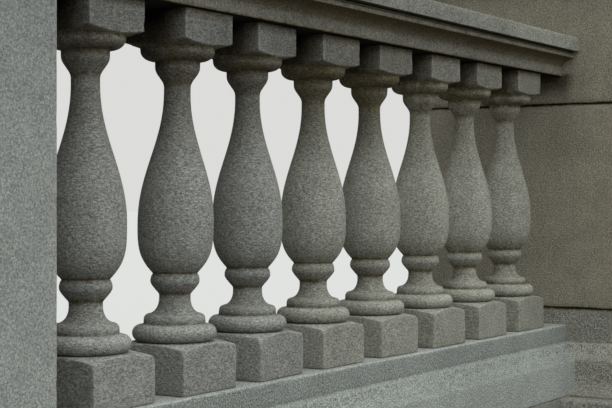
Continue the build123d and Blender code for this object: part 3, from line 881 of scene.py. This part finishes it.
# %% Carry the courses along the row
ground_height = 160
base_section = across_row(base_edge, 100, 0)
rail_section = across_row(rail_edge, 90, 0)
coping_section = across_row(coping_edge, 90, 15)
ground_section = across_row(np.array([(0, 0), (0, ground_height)], float), 146, 0)

# Of each: stones, section, slot, softness, points round the section, mm between rings, and soil with painted
# light and shade
courses = [
    ("base_course", 3, base_section, "base_stone", 6.0, 200, 9, soil_and_light_of_base),
    ("rail", 3, rail_section, "rail_stone", 3.0, 150, 9, soil_and_shade_of_rail),
    ("coping", 2, coping_section, "rail_stone", 4.0, 110, 10, soil_and_shade_of_coping),
    ("ground_course", 2, ground_section, "ground_stone", 6.0, 90, 12, soil_of_plain),
]
own_finish = {"coping": "coping_stone"}
for kind, stones, section, slot, softness, count, step, soil_and_light in courses:
    for number in range(1, stones + 1):
        name = f"{kind}_{number}"
        low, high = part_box(name)
        seed = 1000 + 37 * len(name) + 11 * number
        shell = course_shell(section, low.x, high.x, low.z, seed, softness, count, step, soil_and_light)
        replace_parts(stone("worn_" + name, [shell], slot, seed, own_finish.get(kind)), name)
    print(kind, "stones:", stones)

# %% [markdown]
# ## Piers
# A pier is a moulding carried round a rectangle, so its rings lie level and climb the outline. The corners
# turn with a small radius, which is the worn mitre. A mitre is worked in one stone, so a base, rail or coping
# stone of the near pier also holds a short stub of the row's own moulding.

# %% Tools for piers


def pier_shell(middle, level, half_x, half_y, edge, crown, seed, softness, count, per_side, corner, soil_and_light,
               closed_top=4, rub=0.8):
    """Rings round a pier: the worn outline (offset, height) pushes the rectangle out, and further rings
    shrink in proportion to close its top, which rises by the crown."""
    outline, arris, hollow = worn(edge, softness, count)
    offset, height = outline[:, 0:1], outline[:, 1:2]
    walk = walk_round(per_side, 5, 0.1)
    flat = ring_round(walk, half_x + offset, half_y + offset, corner)
    shrink = np.linspace(1, 0, closed_top + 2)[1:-1][:, None, None]
    top = flat[-1:] * shrink
    heights = np.concatenate([height, height[-1] + crown * (1 - shrink[:, :, 0])])
    flat = np.concatenate([flat, top])
    grid = np.concatenate([flat, np.broadcast_to(heights[..., None], (*flat.shape[:2], 1))], -1) * mm
    grid[..., 0] += middle
    grid[..., 2] += level
    arris = np.concatenate([arris, np.zeros(closed_top)])[:, None]
    hollow = np.concatenate([hollow, np.zeros(closed_top)])[:, None]
    upright = np.abs(np.abs(walk[0]) - 1) + np.abs(np.abs(walk[1]) - 1)
    on_outline = np.concatenate([np.ones(len(height)), np.zeros(closed_top)])[:, None]
    near_corner = np.exp(-upright / 0.05) * on_outline
    edge_weight = np.maximum(arris, near_corner * 0.8)
    dirt_and_painted_shade, soot_and_painted_shade, wash_and_painted_light = soil_and_light(heights, outward(grid)[..., 2], hollow)
    return weathered(grid, edge_weight, seed, rub=rub), edge_weight, dirt_and_painted_shade, soot_and_painted_shade, wash_and_painted_light


def block_edge(height, chamfer=0.0):
    """The outline of a squared block, its level edges chamfered."""
    low = [(-20, 0), (-chamfer, 0), (0, chamfer)]
    return np.array(low + [(0, height - chamfer), (-chamfer, height), (-20, height)])


def from_below(edge, inset=20):
    """An outline that starts on its bed, inset from the first point, and ends on its top bed."""
    return np.concatenate([[(edge[0, 0] - inset, edge[0, 1])], edge, [(edge[-1, 0] - inset, edge[-1, 1])]])


# %% Build the near pier
die_low, die_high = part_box("near_pier_die")
near_x = (die_low.x + die_high.x) / 2
near_half_x, near_half_y = (die_high.x - die_low.x) / 2 / mm, (die_high.y - die_low.y) / 2 / mm
die_height = (die_high.z - die_low.z) / mm
let_in = 30 * mm  # how far a stub reaches into its pier


def stub(section, node, seed, softness, count, soil_and_light):
    """The length of the row's moulding that is worked on a stone of the near pier."""
    low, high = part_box(node)
    start = near_x + near_half_x * mm - let_in
    return course_shell(section, start, high.x, low.z, seed, softness, count, 9, soil_and_light)


def near_block(node, extra, edge, crown, seed, softness, count, per_side, corner, soil_and_light, closed_top=4,
               rub=0.8):
    """Rings round a stone of the near pier, whose outline is drawn from extra mm outside the die."""
    return pier_shell(near_x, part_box(node)[0].z, near_half_x + extra, near_half_y + extra, edge, crown, seed,
                      softness, count, per_side, corner, soil_and_light, closed_top, rub)


low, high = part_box("near_pier_ground_course")
ground_half_x, ground_half_y = (high.x - low.x) / 2 / mm, (high.y - low.y) / 2 / mm
near_stones = {
    "near_pier_ground_course": (
        [pier_shell(near_x, low.z, ground_half_x, ground_half_y, block_edge(ground_height), 0, 2001, 6, 40,
                    26, 4, soil_of_plain)],
        "ground_stone", None,
    ),
    "near_pier_base": (
        [
            near_block("near_pier_base", 10, from_below(base_edge), 0, 2002, 6, 80, 30, 3, soil_and_light_of_base),
            stub(base_section, "near_pier_base", 2003, 6, 200, soil_and_light_of_base),
        ],
        "base_stone", None,
    ),
    "near_pier_die": (
        [near_block("near_pier_die", 0, block_edge(die_height), 0, 2004, 4, 110, 34, 1.5, soil_of_die,
                    rub=0.3)],
        "pier_stone", "near_pier_stone",
    ),
    "near_pier_rail": (
        [
            near_block("near_pier_rail", 0, from_below(rail_edge), 0, 2005, 3, 50, 30, 3, soil_and_shade_of_rail),
            stub(rail_section, "near_pier_rail", 2006, 3, 150, soil_and_shade_of_rail),
        ],
        "rail_stone", None,
    ),
    "near_pier_coping": (
        [
            near_block("near_pier_coping", 0, from_below(coping_edge)[:-1], 15, 2007, 4, 36, 30, 4,
                       soil_and_shade_of_coping, closed_top=10),
            stub(coping_section, "near_pier_coping", 2008, 4, 110, soil_and_shade_of_coping),
        ],
        "rail_stone", "coping_stone",
    ),
}
for node, (shells, slot, finish) in near_stones.items():
    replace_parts(stone("worn_" + node, shells, slot, 50 + len(node), finish), node)
print("near pier stones:", len(near_stones))

# %% Build the far pier
body_low, body_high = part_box("far_pier_lower_course")
far_x = (body_low.x + body_high.x) / 2
far_half_x, far_half_y = (body_high.x - body_low.x) / 2 / mm, (body_high.y - body_low.y) / 2 / mm
far_base_height = 237
far_base_edge = np.concatenate([
    [(105, 0), (105, 2)],
    quarter((105, 43), 59, 41, 180)[::-1],
    base_edge[1:-1],
    [(0, far_base_height - 3), (-3, far_base_height)],
])


def soil_of_joints(top):
    """Dirt of the joints below and above a stone of the far pier, fading over 5 mm."""

    def soil_and_light(height, facing_up, hollow):
        distance = np.minimum(height, top - height)
        return 1.2 * band_at(distance, 0, 5.0), np.zeros_like(height), np.ones_like(height)

    return soil_and_light


def far_block(node, extra, edge, crown, seed, softness, count, corner, soil_and_light=soil_of_plain, closed_top=4,
              rub=0.8):
    """Rings round a stone of the far pier, whose outline is drawn from extra mm outside the courses."""
    return pier_shell(far_x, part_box(node)[0].z, far_half_x + extra, far_half_y + extra, edge, crown, seed,
                      softness, count, 60, corner, soil_and_light, closed_top, rub)


def far_course(node, seed, count):
    """A plain course: a squared block whose chamfered level edges hold the dirt of the joints. Below the
    rail's end its face carries the rail's painted shadow and some dirt, fading over 45 mm below the rail's bed
    and gone at
    130 mm to either side."""
    low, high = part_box(node)
    height = (high.z - low.z) / mm
    grid, edge, dirt_and_painted_shade, soot_and_painted_shade, wash_and_painted_light = far_block(
        node, 0, block_edge(height, 3), 0, seed, 2, count, 4, soil_of_joints(height), rub=3.5
    )
    # the rail's painted shadow, with dirt, on the face below the rail's end
    below = (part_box("rail_3")[0].z - grid[..., 2]) / mm
    near_rail = band_at(below, 0, 45) * step_up(below, -12, 0)
    across = 1 - step_up(np.abs(grid[..., 1] / mm), 85, 130)
    rail_shadow_and_dirt = near_rail * across * (grid[..., 0] < far_x)
    shell = (grid, edge, dirt_and_painted_shade + rail_shadow_and_dirt, soot_and_painted_shade + rail_shadow_and_dirt, wash_and_painted_light - 0.15 * rail_shadow_and_dirt)
    return [shell], "pier_stone", "far_pier_stone"


def soil_and_light_of_far_base(height, facing_up, hollow):
    """Rough and a little brown, paler on the step with painted top light, and dark at its foot and in the
    joint above it.
    """
    joint = 1.2 * band_at(height, far_base_height, 5.0) + 0.6 * band_at(height, 0, 3)
    band = step_up(height, 138, 144)
    step = step_up(height, 92, 104) * (1 - band)
    dirt_and_painted_shade = 0.10 + 0.06 * (1 - step) * (1 - band) + joint
    return dirt_and_painted_shade, np.zeros_like(height), 1.12 - 0.17 * band + 0.16 * step


far_stub_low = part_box("far_pier_base")[0]
far_stones = {
    "far_pier_plinth": (
        [far_block("far_pier_plinth", 156, block_edge(ground_height, 5), 0, 3001, 6, 44, 5, closed_top=8)],
        "ground_stone", "far_base_stone",
    ),
    "far_pier_base": (
        [
            far_block("far_pier_base", 0, from_below(far_base_edge), 0, 3002, 5, 110, 3, soil_and_light_of_far_base),
            course_shell(base_section, far_stub_low.x, body_low.x + let_in, far_stub_low.z, 3003, 6, 200, 9,
                         soil_and_light_of_base),
        ],
        "base_stone", ["far_base_stone", "base_stone"],
    ),
    "far_pier_lower_course": far_course("far_pier_lower_course", 3004, 70),
    "far_pier_upper_course": far_course("far_pier_upper_course", 3005, 50),
    "far_pier_cap": (
        [far_block("far_pier_cap", 45, np.array([(-45, 0), (0, 0), (0, 56), (-4, 60)]), 35, 3006, 4, 40, 5,
                   soil_and_shade_of_coping, 14)],
        "rail_stone", "coping_stone",
    ),
}
for node, (shells, slot, finish) in far_stones.items():
    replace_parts(stone("worn_" + node, shells, slot, 70 + len(node), finish), node)
print("far pier stones:", len(far_stones))

# %% [markdown]
# ## The triangles added
# Wear only takes stone away, so the dressed object has to stay inside the box of the imported one. The
# triangles that the new surfaces add are counted.

# %% Count the triangles
new_triangles = sum(
    len(polygon.vertices) - 2
    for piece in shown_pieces()
    if piece.type == "MESH" and "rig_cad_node" not in piece
    for polygon in piece.data.polygons
)
print("triangles added:", new_triangles)
